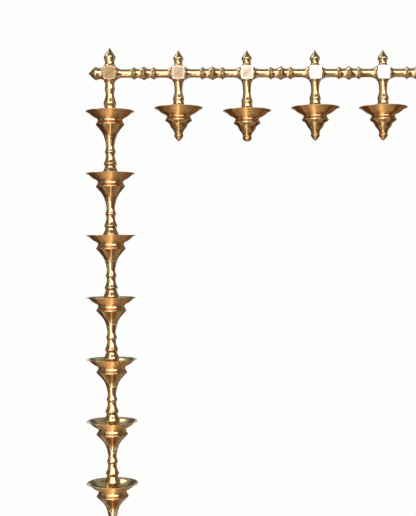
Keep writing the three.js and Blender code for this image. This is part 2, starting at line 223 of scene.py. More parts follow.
class DiyaStage(PropertyGroup):
    camera_place: FloatVectorProperty(name="Camera", description="Place of the camera",
                                      default=(0.1462, -2.0642, -0.3647), subtype="TRANSLATION")
    camera_yaw: FloatProperty(name="Camera Yaw", description="Turn of the camera to the right",
                              default=math.radians(1.371), subtype="ANGLE")
    camera_pitch: FloatProperty(name="Camera Pitch", description="Tilt of the camera upwards",
                                default=math.radians(-0.214), subtype="ANGLE")
    camera_roll: FloatProperty(name="Camera Roll", description="Roll of the camera",
                               default=math.radians(-0.384), subtype="ANGLE")
    lens: FloatProperty(name="Lens", description="Focal length of the camera in millimetres", default=70.91)
    backdrop: FloatVectorProperty(name="Backdrop", description="Colour behind the object",
                                  default=(0.984, 0.984, 0.976), subtype="COLOR", min=0, max=1)
    floor: FloatVectorProperty(name="Floor", description="Colour of the floor",
                               default=(0.64, 0.63, 0.61), subtype="COLOR", min=0, max=1)
    floor_drop: FloatProperty(name="Floor Drop", description="Space between the lowest finial and the floor",
                              default=0.93, unit="LENGTH")
    floor_radius: FloatProperty(name="Floor Radius", description="Radius of the floor", default=1.6,
                                unit="LENGTH")


# Profiles of the turned pieces: rows of radius, height and edge in millimetres, up the outside. A row with an
# edge is a corner softened by that length; rows without one lie on a smooth curve.

def in_mm(length):
    """A length in metres, given in the millimetres of the profiles."""
    return length / MM


def dish_rows(sizes, rim, ledge, ledge_drop):
    """A bowl above its ledge, with heights from the rim: the outside up to the lip, and the inside down to
    the floor."""
    soft = in_mm(sizes.edge)
    wall = in_mm(sizes.wall)
    neck = ledge * sizes.neck_share
    reach = rim - neck
    shelf = ledge - neck
    base = -in_mm(sizes.neck_drop)
    floor = -in_mm(sizes.floor_drop)
    outside = [
        (ledge - LEDGE_LEAN, -ledge_drop - in_mm(sizes.ledge_thickness), soft),
        (ledge, -ledge_drop, soft),
        (neck + 0.70 * shelf, base - 0.79 * (ledge_drop + base)),
        (neck + 0.33 * shelf, base - 0.56 * (ledge_drop + base)),
        (neck + 0.10 * shelf, base - 0.30 * (ledge_drop + base)),
        (neck, base),
        (neck + 0.03 * reach, base + 1.3, 0.5 * soft),
        (neck + 0.12 * reach, -13.9),
        (neck + 0.29 * reach, -12),
        (neck + 0.42 * reach, -10),
        (neck + 0.53 * reach, -8),
        (neck + 0.615 * reach, -6),
        (neck + 0.71 * reach, -4),
        (neck + 0.85 * reach, -2.1),
        (rim, -0.8, 0.6 * soft),
    ]
    inside = [
        (rim - 0.5, 0, 0.6 * soft),
        (neck + 0.85 * reach - 0.5 * wall, -2.1 + 0.85 * wall),
        (neck + 0.71 * reach - 0.6 * wall, -4 + 0.8 * wall),
        (neck + 0.53 * reach - 0.65 * wall, -8 + 0.75 * wall),
        (neck + 0.29 * reach - 0.6 * wall, -12 + 0.8 * wall),
        (neck + 0.12 * reach - 0.5 * wall, floor + 0.5),
        (neck - 0.2, floor, 0),
        (in_mm(sizes.socket), floor, 0),
    ]
    return outside, inside


def through_bowl_rows(sizes, rim, ledge, ledge_drop):
    """A bowl of the column: a hollow taper below the ledge meets the stem below in one line."""
    outside, inside = dish_rows(sizes, rim, ledge, ledge_drop)
    joint = in_mm(sizes.joint_radius)
    top = -ledge_drop - in_mm(sizes.ledge_thickness)
    bottom = (in_mm(sizes.socket), top - TAPER_LENGTH, 0)
    taper = [(joint, top - TAPER_LENGTH, 0.3)]
    steps = 9
    hollow = 1.4
    for step in range(1, steps):
        up = step / steps
        radius = joint + (ledge - LEDGE_LEAN - joint) * up ** hollow
        taper.append((radius, top - TAPER_LENGTH * (1 - up)))
    return [bottom] + taper + outside + inside + [bottom]


def end_bowl_rows(sizes, rim, ledge, ledge_drop):
    """A bowl that ends a hanging lamp: a bulb with a small step draws in below the ledge."""
    outside, inside = dish_rows(sizes, rim, ledge, ledge_drop)
    top = -ledge_drop - in_mm(sizes.ledge_thickness)
    end = in_mm(sizes.bulb_end)
    bottom = (in_mm(sizes.socket), top - BULB_LENGTH, 0)
    bulb = [
        (end, top - BULB_LENGTH, 0.3),
        (end + 0.5, top - 0.92 * BULB_LENGTH),
        (end + 1.3, top - 0.83 * BULB_LENGTH),
        (end + 2.6, top - 0.75 * BULB_LENGTH),
        (end + 4.1, top - 0.67 * BULB_LENGTH),
        (end + 4.8, top - 0.625 * BULB_LENGTH, 0.3),
        (end + 5.7, top - 0.60 * BULB_LENGTH, 0.4),
        (end + 7.2, top - 0.5 * BULB_LENGTH),
        (end + 8.2, top - 0.42 * BULB_LENGTH),
        (end + 9.2, top - 0.33 * BULB_LENGTH),
        (end + 9.7, top - 0.26 * BULB_LENGTH, 0.8),
        (ledge - 6.6, top - 0.165 * BULB_LENGTH),
        (ledge - 3.4, top - 0.083 * BULB_LENGTH),
    ]
    return [bottom] + bulb + outside + inside + [bottom]


def raised(rows, height):
    """The same rows, higher by a height."""
    return [(row[0], row[1] + height) + row[2:] for row in rows]


def rim_height(sizes):
    """A height just under a bowl's rim, above the bowl's floor, from which a stem's rings are measured."""
    return in_mm(sizes.floor_drop) - 0.3


def stud_rows(sizes, length, top):
    """The stud on the upper end of a stem."""
    stud = in_mm(sizes.stud)
    return [(stud, top, 0), (stud, top + length, 0.4), (0, top + length, 0)]


def foot_rows(sizes, rim, edge_height):
    """The lower stud and the foot, standing on the bowl floor at zero; the rim is at the height rim."""
    stud = in_mm(sizes.stud)
    foot = in_mm(sizes.foot)
    length = in_mm(sizes.bowl_stud)
    return [
        (0, -length, 0),
        (stud, -length, 0.4),
        (stud, 0, 0),
        (foot, 0, 0.3),
        (foot, rim + edge_height - 2.6, 0.3),
        (foot + 0.45, rim + edge_height - 1.2, 0.4),
        (foot + 0.35, rim + edge_height, 0.4),
    ]


def column_stem_rows(sizes, top):
    """A stem between two bowls of the column: foot, ring, waist and bead, flaring to the bowl above."""
    rim = rim_height(sizes)
    soft = in_mm(sizes.edge)
    return foot_rows(sizes, rim, 2.2) + raised([
        (14.3, 5.2), (13.1, 7.7), (12.1, 9.7), (11.3, 11.8), (11.0, 13.6), (11.5, 15.4),
        (12.5, 17.0, 0.3),
        (13.2, 18.0, soft),
        (13.3, 19.8, soft),
        (12.3, 21.8), (11.4, 23.8), (10.5, 26), (9.8, 28.4), (9.2, 31), (8.8, 34.4), (8.9, 37.2), (9.5, 39.8),
        (10.2, 41.2, 0.3),
        (10.9, 42.3, soft),
        (10.8, 43.8, soft),
        (9.8, 46.2), (9.1, 48.3), (8.5, 51.2), (8.3, 54), (8.6, 57), (9.2, 60.2), (9.9, 63.2), (10.4, 66),
        (11.1, 68.8),
    ], rim) + raised([
        (12.1, -1.6),
        (in_mm(sizes.joint_radius), 0, 0.25),
    ], top) + stud_rows(sizes, in_mm(sizes.bowl_stud), top)


def column_hanger_rows(sizes, top):
    """The stem between the corner block and the first bowl of the column."""
    rim = rim_height(sizes)
    soft = in_mm(sizes.edge)
    return foot_rows(sizes, rim, -2.3) + raised([
        (14.1, 0.6), (12.9, 2.8), (11.8, 5), (11.1, 7.6), (11.2, 9.8), (11.8, 12), (12.4, 13.6, 0.3),
        (12.9, 14.8, soft),
        (12.8, 16.8, soft),
        (11.8, 20), (10.6, 23.5), (9.4, 27.6), (8.8, 30.6), (8.4, 33.6), (8.6, 36.7), (9.1, 39.7),
        (9.8, 42.6, 0.4),
        (10.3, 44.6, soft),
        (10.2, 46.8, soft),
        (9.6, 49.4), (9.2, 52.4), (9.4, 55.2), (10, 57.6), (10.9, 59.4),
    ], rim) + raised([
        (12.2, -1.2, 0.4),
        (12.4, 0, 0.25),
    ], top) + stud_rows(sizes, in_mm(sizes.block_stud), top)


def pendant_hanger_rows(sizes, top):
    """The stem between a block and its pendant bowl; a longer one is longer in the plain shaft."""
    rim = rim_height(sizes)
    soft = in_mm(sizes.edge)
    return foot_rows(sizes, rim, 0) + raised([
        (13.7, 2.6), (12.6, 4.8), (11.6, 7.2), (10.8, 9.8), (10.4, 12.6), (10.7, 14.9), (11.0, 16, 0.3),
        (11.5, 17.1, soft),
        (11.5, 18.9, soft),
        (10.6, 21.6), (9.5, 24.8), (8.4, 28.6), (7.9, 32.2),
    ], rim) + raised([
        (7.9, -21), (8.2, -15), (8.5, -11.5), (8.9, -8.6), (9.4, -6.4), (10.1, -4.2), (11.0, -2.2),
        (12.2, -0.9, 0.4),
        (12.3, 0, 0.25),
    ], top) + stud_rows(sizes, in_mm(sizes.block_stud), top)


def spindle_rows(sizes, half):
    """A rail spindle, its middle at zero: three sharp beads on a shaft between two flared collars."""
    stud = in_mm(sizes.stud)
    length = in_mm(sizes.block_stud)
    soft = in_mm(sizes.edge)
    upper = [
        (11.9, 3.0), (10.2, 6.2), (9.3, 9.2), (8.95, 11.9, 0.4),
        (9.3, 14.2), (10.4, 16.9), (13.1, 19.9, soft),
        (10.8, 22.2), (9.4, 24.2), (8.7, 26.6, 0.4),
        (8.45, 31), (8.45, 38), (8.5, 43.2), (8.9, 46.8), (9.5, 49.0), (10.4, 51.1),
        (11.6, half - 2.8), (13.2, half - 1.1, 0.5), (13.3, half, 0.25),
        (stud, half, 0), (stud, half + length, 0.4), (0, half + length, 0),
    ]
    lower = [(row[0], -row[1]) + row[2:] for row in reversed(upper)]
    return lower + [(14.3, 0, soft)] + upper


def finial_rows(sizes, base, waist, shoulder, waist_height, shoulder_height, length):
    """A finial on a block: a hollow neck, a banded shoulder and a slightly full cone."""
    stud = in_mm(sizes.stud)
    depth = in_mm(sizes.block_stud)
    soft = in_mm(sizes.edge)
    cone = length - shoulder_height
    return [
        (0, -depth, 0),
        (stud, -depth, 0.4),
        (stud, 0, 0),
        (base, 0, 0.3),
        (base - 0.2, 1.0, 0.4),
        (waist + 0.42 * (base - waist), 0.34 * waist_height),
        (waist + 0.12 * (base - waist), 0.65 * waist_height),
        (waist, waist_height),
        (waist + 0.14 * (shoulder - waist), waist_height + 0.26 * (shoulder_height - waist_height)),
        (waist + 0.52 * (shoulder - waist), waist_height + 0.56 * (shoulder_height - waist_height)),
        (shoulder - 0.35, shoulder_height - 2.3, 0.4),
        (shoulder, shoulder_height - 1.6, 0.3),
        (shoulder, shoulder_height, soft),
        (0.80 * shoulder, shoulder_height + 0.22 * cone),
        (0.53 * shoulder, shoulder_height + 0.48 * cone),
        (0.29 * shoulder, shoulder_height + 0.72 * cone),
        (0.12 * shoulder, shoulder_height + 0.92 * cone, 0.6),
        (0, length, 0),
    ]


def drop_rows(sizes, pointed):
    """The finial under an end bowl, hanging from zero: a pointed drop or a round knob."""
    stud = in_mm(sizes.stud)
    length = in_mm(sizes.bowl_stud)
    end = in_mm(sizes.bulb_end)
    if pointed:
        rows = [(0, -17, 0), (1.0, -16.2, 0.4), (2.9, -14.8), (4.7, -13), (6.3, -10.9), (8.0, -8.4),
                (9.3, -6.3, 0.5), (9.3, -4.6, 0.5), (8.6, -2.9), (8.1, -1.5)]
    else:
        rows = [(0, -11.6), (2.5, -11.3), (5.3, -10.3), (7.6, -8.6), (8.9, -6.6), (9.2, -4.6), (8.7, -2.4),
                (8.2, -1.3)]
    return rows + [(end, -0.5, 0.3), (end, 0, 0.2), (stud, 0, 0), (stud, length, 0.4), (0, length, 0)]


# From rows to the line that a piece is turned from

def smooth_stretch(knots, spacing):
    """Points of a smooth curve through the knots, about a spacing apart."""
    if len(knots) == 2:
        return list(knots)
    gaps = [(knots[i + 1] - knots[i]).length for i in range(len(knots) - 1)]
    slopes = [(knots[i + 1] - knots[i]) / gaps[i] for i in range(len(gaps))]
    tangents = [slopes[0]]
    for i in range(1, len(gaps)):
        tangents.append((slopes[i - 1] * gaps[i] + slopes[i] * gaps[i - 1]) / (gaps[i - 1] + gaps[i]))
    tangents.append(slopes[-1])
    tangents[0] = slopes[0] * 1.5 - tangents[1] * 0.5
    tangents[-1] = slopes[-1] * 1.5 - tangents[-2] * 0.5
    points = [knots[0]]
    for i, gap in enumerate(gaps):
        count = max(1, round(gap / spacing))
        for step in range(1, count + 1):
            t = step / count
            points.append(
                knots[i] * (2 * t ** 3 - 3 * t ** 2 + 1) + tangents[i] * gap * (t ** 3 - 2 * t ** 2 + t)
                + knots[i + 1] * (3 * t ** 2 - 2 * t ** 3) + tangents[i + 1] * gap * (t ** 3 - t ** 2))
    return points


def cut_back(points, length):
    """The line with a length cut off its far end."""
    points = list(points)
    while len(points) > 2 and (points[-1] - points[-2]).length <= length:
        length -= (points[-1] - points[-2]).length
        points.pop()
    back = points[-2] - points[-1]
    points[-1] = points[-1] + back.normalized() * min(length, 0.45 * back.length)
    return points


def turning_line(rows, spacing):
    """The line of a profile: smooth curves between corners, each corner softened by a small arc."""
    last = len(rows) - 1
    corners = [i for i, row in enumerate(rows) if len(row) == 3 or i in (0, last)]
    stretches = []
    for start, end in zip(corners, corners[1:]):
        stretches.append(smooth_stretch([Vector(rows[i][:2]) for i in range(start, end + 1)], spacing))
    line = [stretches[0][0]]
    for number, stretch in enumerate(stretches):
        arc = []
        if number < len(stretches) - 1:
            corner = rows[corners[number + 1]]
            edge = corner[2]
            if edge > 0:
                meeting = Vector(corner[:2])
                stretch = cut_back(stretch, edge)
                after = cut_back(stretches[number + 1][::-1], edge)[::-1]
                stretches[number + 1] = after
                for step in (1, 2, 3):
                    t = step / 4
                    arc.append(stretch[-1] * (1 - t) ** 2 + meeting * 2 * t * (1 - t) + after[0] * t ** 2)
                arc.append(after[0])
        line += stretch[1:] + arc
    return line


# Modelling with the mesh tools

def deselect_all():
    """Leaves edit mode and deselects every object."""
    if bpy.context.object and bpy.context.object.mode != "OBJECT":
        bpy.ops.object.mode_set(mode="OBJECT")
    bpy.ops.object.select_all(action="DESELECT")


def turned_piece(name, rows, steps, spacing):
    """Draws the line of a profile by extruding one vertex, and spins it about Z into a closed piece."""
    line = turning_line(rows, spacing)
    deselect_all()
    bpy.ops.mesh.primitive_plane_add(size=MM)
    piece = bpy.context.object
    piece.name = name
    piece.data.name = name
    bpy.ops.object.mode_set(mode="EDIT")
    bpy.ops.mesh.select_mode(type="VERT")
    bpy.ops.mesh.select_all(action="SELECT")
    bpy.ops.mesh.merge(type="CENTER")
    place = Vector((0, 0))
    for number, point in enumerate(line):
        move = ((point[0] - place[0]) * MM, 0, (point[1] - place[1]) * MM)
        if number == 0:
            bpy.ops.transform.translate(value=move)
        else:
            bpy.ops.mesh.extrude_region_move(TRANSFORM_OT_translate={"value": move})
        place = point
    bpy.ops.mesh.select_all(action="SELECT")
    bpy.ops.mesh.spin(steps=steps, angle=2 * math.pi, center=(0, 0, 0), axis=(0, 0, 1))
    bpy.ops.mesh.select_all(action="SELECT")
    bpy.ops.mesh.remove_doubles(threshold=0.002 * MM)
    bpy.ops.mesh.normals_make_consistent(inside=False)
    bpy.ops.object.mode_set(mode="OBJECT")
    bpy.ops.object.shade_smooth_by_angle(angle=SMOOTH_ANGLE)
    mark_turning(piece, line)
    return piece


def mark_turning(piece, line):
    """Gives each vertex its relief, 0 in a crevice and 1 on an edge, and each face corner its place on the
    lathe: how far round it lies and how far along the profile."""
    along = [0.0]
    for start, end in zip(line, line[1:]):
        along.append(along[-1] + (end - start).length)
    turns = [0.0]
    for before, here, after in zip(line, line[1:], line[2:]):
        first, second = here - before, after - here
        turns.append(math.atan2(first.x * second.y - first.y * second.x, first.dot(second)))
    turns.append(0.0)
    reach = 1.0
    contrast = 1.1
    relief = []
    for place in along:
        bend = sum(turn * math.exp(-((spot - place) / reach) ** 2) for turn, spot in zip(turns, along)
                   if abs(spot - place) < 3 * reach)
        relief.append(0.5 + 0.5 * math.tanh(contrast * bend))
    tree = KDTree(len(line))
    for number, point in enumerate(line):
        tree.insert((point.x, point.y, 0), number)
    tree.balance()
    mesh = piece.data
    numbers = []
    for vertex in mesh.vertices:
        spot = (math.hypot(vertex.co.x, vertex.co.y) / MM, vertex.co.z / MM, 0)
        numbers.append(tree.find(spot)[1])
    attribute = mesh.attributes.new("relief", "FLOAT", "POINT")
    attribute.data.foreach_set("value", [relief[number] for number in numbers])
    layer = mesh.uv_layers.active or mesh.uv_layers.new(name="turning")
    layer.name = "turning"
    for face in mesh.polygons:
        middle = math.atan2(face.center.y, face.center.x) / (2 * math.pi)
        for corner in face.loop_indices:
            number = mesh.loops[corner].vertex_index
            x, y = mesh.vertices[number].co.xy
            turn = math.atan2(y, x) / (2 * math.pi) if math.hypot(x, y) > 0.01 * MM else middle
            turn += round(middle - turn)
            layer.data[corner].uv = (turn, along[numbers[number]] * MM * MAP_SCALE)


def copied(piece, name):
    """A copy of a piece with its own mesh."""
    copy = piece.copy()
    copy.data = piece.data.copy()
    copy.name = name
    copy.data.name = name
    bpy.context.collection.objects.link(copy)
    return copy


def stand_in_for(piece, node, materials, placement):
    """Puts a piece modelled at the origin in its node's place, gives it its finishes and hides the node."""
    piece.data.transform(placement)
    for material in materials:
        piece.data.materials.append(material)
    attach(piece, "root")
    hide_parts(node)


def like_pieces(nodes, rows, steps, sizes, materials, placements, finish_faces=None):
    """Models one turned piece and copies it for every node of its kind."""
    model = turned_piece(nodes[0] + "_turned", rows, steps, sizes.spacing / MM)
    if finish_faces:
        finish_faces(model)
    pieces = [model] + [copied(model, node + "_turned") for node in nodes[1:]]
    for piece, node, placement in zip(pieces, nodes, placements):
        stand_in_for(piece, node, materials, placement)


def axis_of(node):
    """The middle of a node's box."""
    low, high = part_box(node)
    return (Vector(low) + Vector(high)) / 2


def upright(node, height):
    """Places a piece turned about Z on a node's axis, its zero at a height."""
    middle = axis_of(node)
    return Matrix.Translation((middle.x, middle.y, height))


# Node groups shared by the finishes

class Nodes:
    """Adds nodes to a tree, with their values and links."""

    def __init__(self, tree):
        self.tree = tree

    def add(self, kind, inputs=None, **settings):
        node = self.tree.nodes.new(kind)
        for name, value in settings.items():
            setattr(node, name, value)
        for socket, value in (inputs or {}).items():
            if isinstance(value, bpy.types.NodeSocket):
                self.tree.links.new(value, node.inputs[socket])
            else:
                node.inputs[socket].default_value = value
        return node

    def math(self, operation, first, second=0.0, clamp=False):
        node = self.add("ShaderNodeMath", {0: first, 1: second}, operation=operation, use_clamp=clamp)
        return node.outputs[0]

    def total(self, first, second, clamp=False):
        return self.math("ADD", first, second, clamp)

    def product(self, first, second, clamp=False):
        return self.math("MULTIPLY", first, second, clamp)

    def noise(self, vector, scale, detail=3.0, roughness=0.5, dimensions="3D"):
        place = {"W": vector} if dimensions == "1D" else {"Vector": vector}
        node = self.add("ShaderNodeTexNoise", {
            **place, "Scale": scale, "Detail": detail, "Roughness": roughness}, noise_dimensions=dimensions)
        return node.outputs["Fac"]

    def remap(self, value, low, high, to_low=0.0, to_high=1.0):
        return self.add("ShaderNodeMapRange", {"Value": value, "From Min": low, "From Max": high,
                                               "To Min": to_low, "To Max": to_high}).outputs[0]

    def put_out(self, made, **values):
        """Links values to the named outputs of a group."""
        for name, value in values.items():
            self.tree.links.new(value, made.inputs[name])

    def mix(self, factor, first, second):
        """Two colours mixed; each is a socket or three numbers."""
        node = self.add("ShaderNodeMix", data_type="RGBA")
        for socket, value in ((0, factor), (6, first), (7, second)):
            if isinstance(value, bpy.types.NodeSocket):
                self.tree.links.new(value, node.inputs[socket])
            elif socket == 0:
                node.inputs[socket].default_value = value
            else:
                node.inputs[socket].default_value = (*value, 1)
        return node.outputs[2]


def new_group(name, inputs, outputs):
    """An empty shader group with named sockets: its nodes, what it is given and its output node."""
    tree = bpy.data.node_groups.new(name, "ShaderNodeTree")
    for label, kind, value in inputs:
        socket = tree.interface.new_socket(name=label, in_out="INPUT", socket_type=kind)
        if value is not None:
            socket.default_value = value
    for label, kind in outputs:
        tree.interface.new_socket(name=label, in_out="OUTPUT", socket_type=kind)
    return Nodes(tree), tree.nodes.new("NodeGroupInput").outputs, tree.nodes.new("NodeGroupOutput")


def lathe_lines_group():
    """Rings that the tool and the cloth left round a turned piece."""
    nodes, given, made = new_group(
        "Lathe Lines",
        [("Along", "NodeSocketFloat", None), ("Round", "NodeSocketFloat", None),
         ("Pitch", "NodeSocketFloat", 1.0)],
        [("Height", "NodeSocketFloat"), ("Tone", "NodeSocketFloat")])
    along = nodes.math("DIVIDE", given["Along"], given["Pitch"])
    wander = nodes.noise(given["Round"], 3.0, 1.0, dimensions="1D")
    along = nodes.total(along, nodes.product(wander, 0.15))
    fine = nodes.noise(along, 1.6, 2.0, 0.5, dimensions="1D")
    broad = nodes.noise(along, 0.4, 2.0, 0.5, dimensions="1D")
    height = nodes.total(nodes.product(fine, 0.55), nodes.product(broad, 0.45))
    nodes.put_out(made, Height=height)
    nodes.put_out(made, Tone=nodes.remap(broad, 0.3, 0.7))


def hand_tarnish_group():
    """Brown film that gathers in crevices and lies in soft clouds elsewhere."""
    nodes, given, made = new_group(
        "Hand Tarnish",
        [("Vector", "NodeSocketVector", None), ("Relief", "NodeSocketFloat", 0.5),
         ("Amount", "NodeSocketFloat", 0.5), ("Scale", "NodeSocketFloat", 40.0)],
        [("Film", "NodeSocketFloat")])
    clouds = nodes.remap(nodes.noise(given["Vector"], given["Scale"], 2.5, 0.5), 0.45, 0.8)
    crevice = nodes.remap(given["Relief"], 0.47, 0.12)
    film = nodes.total(nodes.product(clouds, 0.4), crevice)
    nodes.put_out(made, Film=nodes.product(film, given["Amount"], clamp=True))


def wear_and_highlight_group():
    """Edges that handling has kept bright, a little broken along their length. On the blocks this mask also
    carries a rim painted lighter than the metal as a highlight.
    """
    nodes, given, made = new_group(
        "Edge Wear and Painted Highlight",
        [("Vector", "NodeSocketVector", None), ("Relief", "NodeSocketFloat", 0.5),
         ("Amount", "NodeSocketFloat", 0.8)],
        [("Wear", "NodeSocketFloat")])
    broken = nodes.remap(nodes.noise(given["Vector"], 160.0, 3.0), 0.3, 0.62, 0.55, 1.0)
    edge = nodes.remap(given["Relief"], 0.62, 0.9)
    wear = nodes.product(nodes.product(edge, broken), given["Amount"], clamp=True)
    nodes.put_out(made, Wear=wear)


def hand_polish_group():
    """The slight unevenness of hand polishing, and small dents and pits of the casting."""
    nodes, given, made = new_group(
        "Hand Polish",
        [("Vector", "NodeSocketVector", None), ("Pits", "NodeSocketFloat", 0.3)],
        [("Height", "NodeSocketFloat"), ("Pit", "NodeSocketFloat")])
    swell = nodes.noise(given["Vector"], 70.0, 2.0, 0.4)
    cells = nodes.add("ShaderNodeTexVoronoi", {"Vector": given["Vector"], "Scale": 420.0})
    spots = nodes.remap(cells.outputs["Distance"], 0.22, 0.08)
    patches = nodes.remap(nodes.noise(given["Vector"], 60.0, 2.0), 0.52, 0.66)
    pits = nodes.product(nodes.product(spots, patches), given["Pits"])
    nodes.put_out(made, Height=nodes.math("SUBTRACT", swell, nodes.product(pits, 0.3)))
    nodes.put_out(made, Pit=pits)


def brush_strokes_group():
    """Fine slanting strokes of a file and wire brush on a flat face."""
    nodes, given, made = new_group(
        "Brush Strokes",
        [("Vector", "NodeSocketVector", None), ("Length", "NodeSocketFloat", 12.0)],
        [("Height", "NodeSocketFloat"), ("Tone", "NodeSocketFloat")])
    turned = nodes.add("ShaderNodeVectorRotate", {"Vector": given["Vector"], "Angle": 0.7},
                       rotation_type="Y_AXIS")
    parts = nodes.add("ShaderNodeSeparateXYZ", {"Vector": turned.outputs[0]})
    squeezed = nodes.add("ShaderNodeCombineXYZ", {
        "X": nodes.math("DIVIDE", parts.outputs["X"], given["Length"]),
        "Y": nodes.math("DIVIDE", parts.outputs["Y"], given["Length"]), "Z": parts.outputs["Z"]})
    strokes = nodes.noise(squeezed.outputs[0], 800.0, 3.0, 0.55)
    smears = nodes.noise(squeezed.outputs[0], 130.0, 2.0, 0.5)
    nodes.put_out(made, Height=strokes)
    nodes.put_out(made, Tone=nodes.remap(smears, 0.34, 0.68))


def face_middle_group():
    """How far a place on a face lies from the middle: 0 there and 1 on the outline, with rounded corners."""
    nodes, given, made = new_group(
        "Face Middle", [("Vector", "NodeSocketVector", None)], [("Share", "NodeSocketFloat")])
    parts = nodes.add("ShaderNodeSeparateXYZ", {"Vector": given["Vector"]})
    squareness = 5.0
    powers = 0.0
    for axis in ("X", "Y"):
        share = nodes.math("ABSOLUTE", parts.outputs[axis])
        powers = nodes.total(nodes.math("POWER", share, squareness), powers)
    nodes.put_out(made, Share=nodes.math("POWER", powers, 1 / squareness))


def soft_panel_group():
    """How far a direction lies inside a soft-edged panel of the studio, given in degrees from the front."""
    nodes, given, made = new_group(
        "Soft Panel",
        [(label, "NodeSocketFloat", 0.0) for label in
         ("Azimuth", "Elevation", "Left", "Right", "Bottom", "Top", "Soft")],
        [("Inside", "NodeSocketFloat")])
    share = 1.0
    for along, low, high in (("Azimuth", "Left", "Right"), ("Elevation", "Bottom", "Top")):
        for edge, sign in ((low, 1.0), (high, -1.0)):
            within = nodes.math("SUBTRACT", given[along], given[edge])
            within = nodes.math("DIVIDE", nodes.product(within, sign), given["Soft"])
            rise = nodes.add("ShaderNodeMapRange", {"Value": within, "From Min": -0.5, "From Max": 0.5},
                             interpolation_type="SMOOTHSTEP").outputs[0]
            share = nodes.product(rise, share)
    nodes.put_out(made, Inside=share)


def group_node(nodes, name, inputs):
    """A shared group placed in a tree with its own values."""
    return nodes.add("ShaderNodeGroup", inputs, node_tree=bpy.data.node_groups[name])


def new_material(name):
    """An empty material, ready for nodes."""
    material = bpy.data.materials.new(name)
    material.use_nodes = True
    material.node_tree.nodes.clear()
    return Nodes(material.node_tree)


def aged(nodes, finish, tone, film, pit, wear, worn):
    """The metal's tone with brown film and pits over it, and bright edges on top: worn edges, and on the
    blocks a rim painted lighter than the metal as a highlight.
    """
    for cover in (film, pit):
        tone = nodes.mix(cover, tone, tuple(finish.tarnish))
    return nodes.mix(wear, tone, worn)


def metal_surface(nodes, finish, tone, rough, height, grain=None):
    """The shader that ends every brass finish, with the sockets of a directed grain where there is one."""
    bump = nodes.add("ShaderNodeBump", {"Height": height, "Strength": 1.0, "Distance": finish.line_height})
    shader = nodes.add("ShaderNodeBsdfPrincipled", {
        "Base Color": tone, "Roughness": rough, "Metallic": 1.0, "Normal": bump.outputs[0], **(grain or {})})
    nodes.add("ShaderNodeOutputMaterial", {"Surface": shader.outputs[0]})


def turned_brass(name, finish, colour, roughness, pitch, line_strength, tarnish, wear, pits, grain):
    """A turned brass finish: lathe lines, film in the crevices, bright edges and an uneven polish."""
    nodes = new_material(name)
    place = nodes.add("ShaderNodeTexCoord").outputs["Object"]
    turning = nodes.add("ShaderNodeUVMap", uv_map="turning").outputs[0]
    lathe = nodes.add("ShaderNodeSeparateXYZ", {"Vector": turning})
    relief = nodes.add("ShaderNodeAttribute", attribute_name="relief").outputs["Fac"]
    lines = group_node(nodes, "Lathe Lines", {
        "Along": nodes.product(lathe.outputs["Y"], 1 / (MM * MAP_SCALE)), "Round": lathe.outputs["X"],
        "Pitch": pitch})
    film = group_node(nodes, "Hand Tarnish", {
        "Vector": place, "Relief": relief, "Amount": tarnish * finish.tarnish_amount}).outputs["Film"]
    edge = group_node(nodes, "Edge Wear and Painted Highlight", {"Vector": place, "Relief": relief, "Amount": wear}).outputs["Wear"]
    polish = group_node(nodes, "Hand Polish", {"Vector": place, "Pits": pits})
    darker = [0.82 * part for part in colour]
    tone = nodes.mix(nodes.product(lines.outputs["Tone"], 0.35), tuple(colour), darker)
    tone = aged(nodes, finish, tone, film, polish.outputs["Pit"], edge, tuple(finish.worn))
    rough = nodes.total(nodes.product(film, 0.2), nodes.product(lines.outputs["Tone"], 0.08 * line_strength))
    rough = nodes.total(rough, roughness)
    rough = nodes.math("SUBTRACT", rough, nodes.product(edge, 0.06), clamp=True)
    height = nodes.total(nodes.product(lines.outputs["Height"], line_strength), polish.outputs["Height"])
    tangent = nodes.add("ShaderNodeTangent", direction_type="UV_MAP", uv_map="turning")
    metal_surface(nodes, finish, tone, rough, height, {
        "Anisotropic": grain, "Anisotropic Rotation": 0.25, "Tangent": tangent.outputs[0]})


def brushed_brass(name, finish, face):
    """The blocks' finish: slanting strokes, a face darker towards its middle, and a light rim that is partly
    wear and partly a painted highlight.
    """
    nodes = new_material(name)
    place = nodes.add("ShaderNodeTexCoord").outputs["Object"]
    across = nodes.add("ShaderNodeUVMap", uv_map="face").outputs[0]
    middle = group_node(nodes, "Face Middle", {"Vector": across})
    relief = nodes.add("ShaderNodeAttribute", attribute_name="relief").outputs["Fac"]
    # Lower relief towards the middle of a face, so the face turns darker towards its middle
    relief = nodes.math("MINIMUM", relief, nodes.remap(middle.outputs["Share"], 0.6, 0.92, 0.34, 0.9))
    strokes = group_node(nodes, "Brush Strokes", {"Vector": place, "Length": 14.0})
    film = group_node(nodes, "Hand Tarnish", {
        "Vector": place, "Relief": relief, "Amount": finish.tarnish_amount, "Scale": 46.0}).outputs["Film"]
    edge = group_node(nodes, "Edge Wear and Painted Highlight", {"Vector": place, "Relief": relief, "Amount": 0.85}).outputs["Wear"]
    polish = group_node(nodes, "Hand Polish", {"Vector": place, "Pits": 0.5})
    darker = [0.66 * part for part in face]
    # The rim's colour, up to 1.9 times the face's: wear with a painted highlight, lighter than the metal
    # itself
    rim = [min(1.9 * part, 1.0) for part in face]
    tone = nodes.mix(nodes.product(strokes.outputs["Tone"], 0.6), tuple(face), darker)
    tone = aged(nodes, finish, tone, film, polish.outputs["Pit"], edge, rim)
    rough = nodes.total(nodes.product(film, 0.25), nodes.product(strokes.outputs["Tone"], 0.1))
    rough = nodes.total(rough, finish.brushed_roughness, clamp=True)
    height = nodes.total(nodes.product(strokes.outputs["Height"], 0.6),
                         nodes.product(polish.outputs["Height"], 1.6))
    metal_surface(nodes, finish, tone, rough, height)


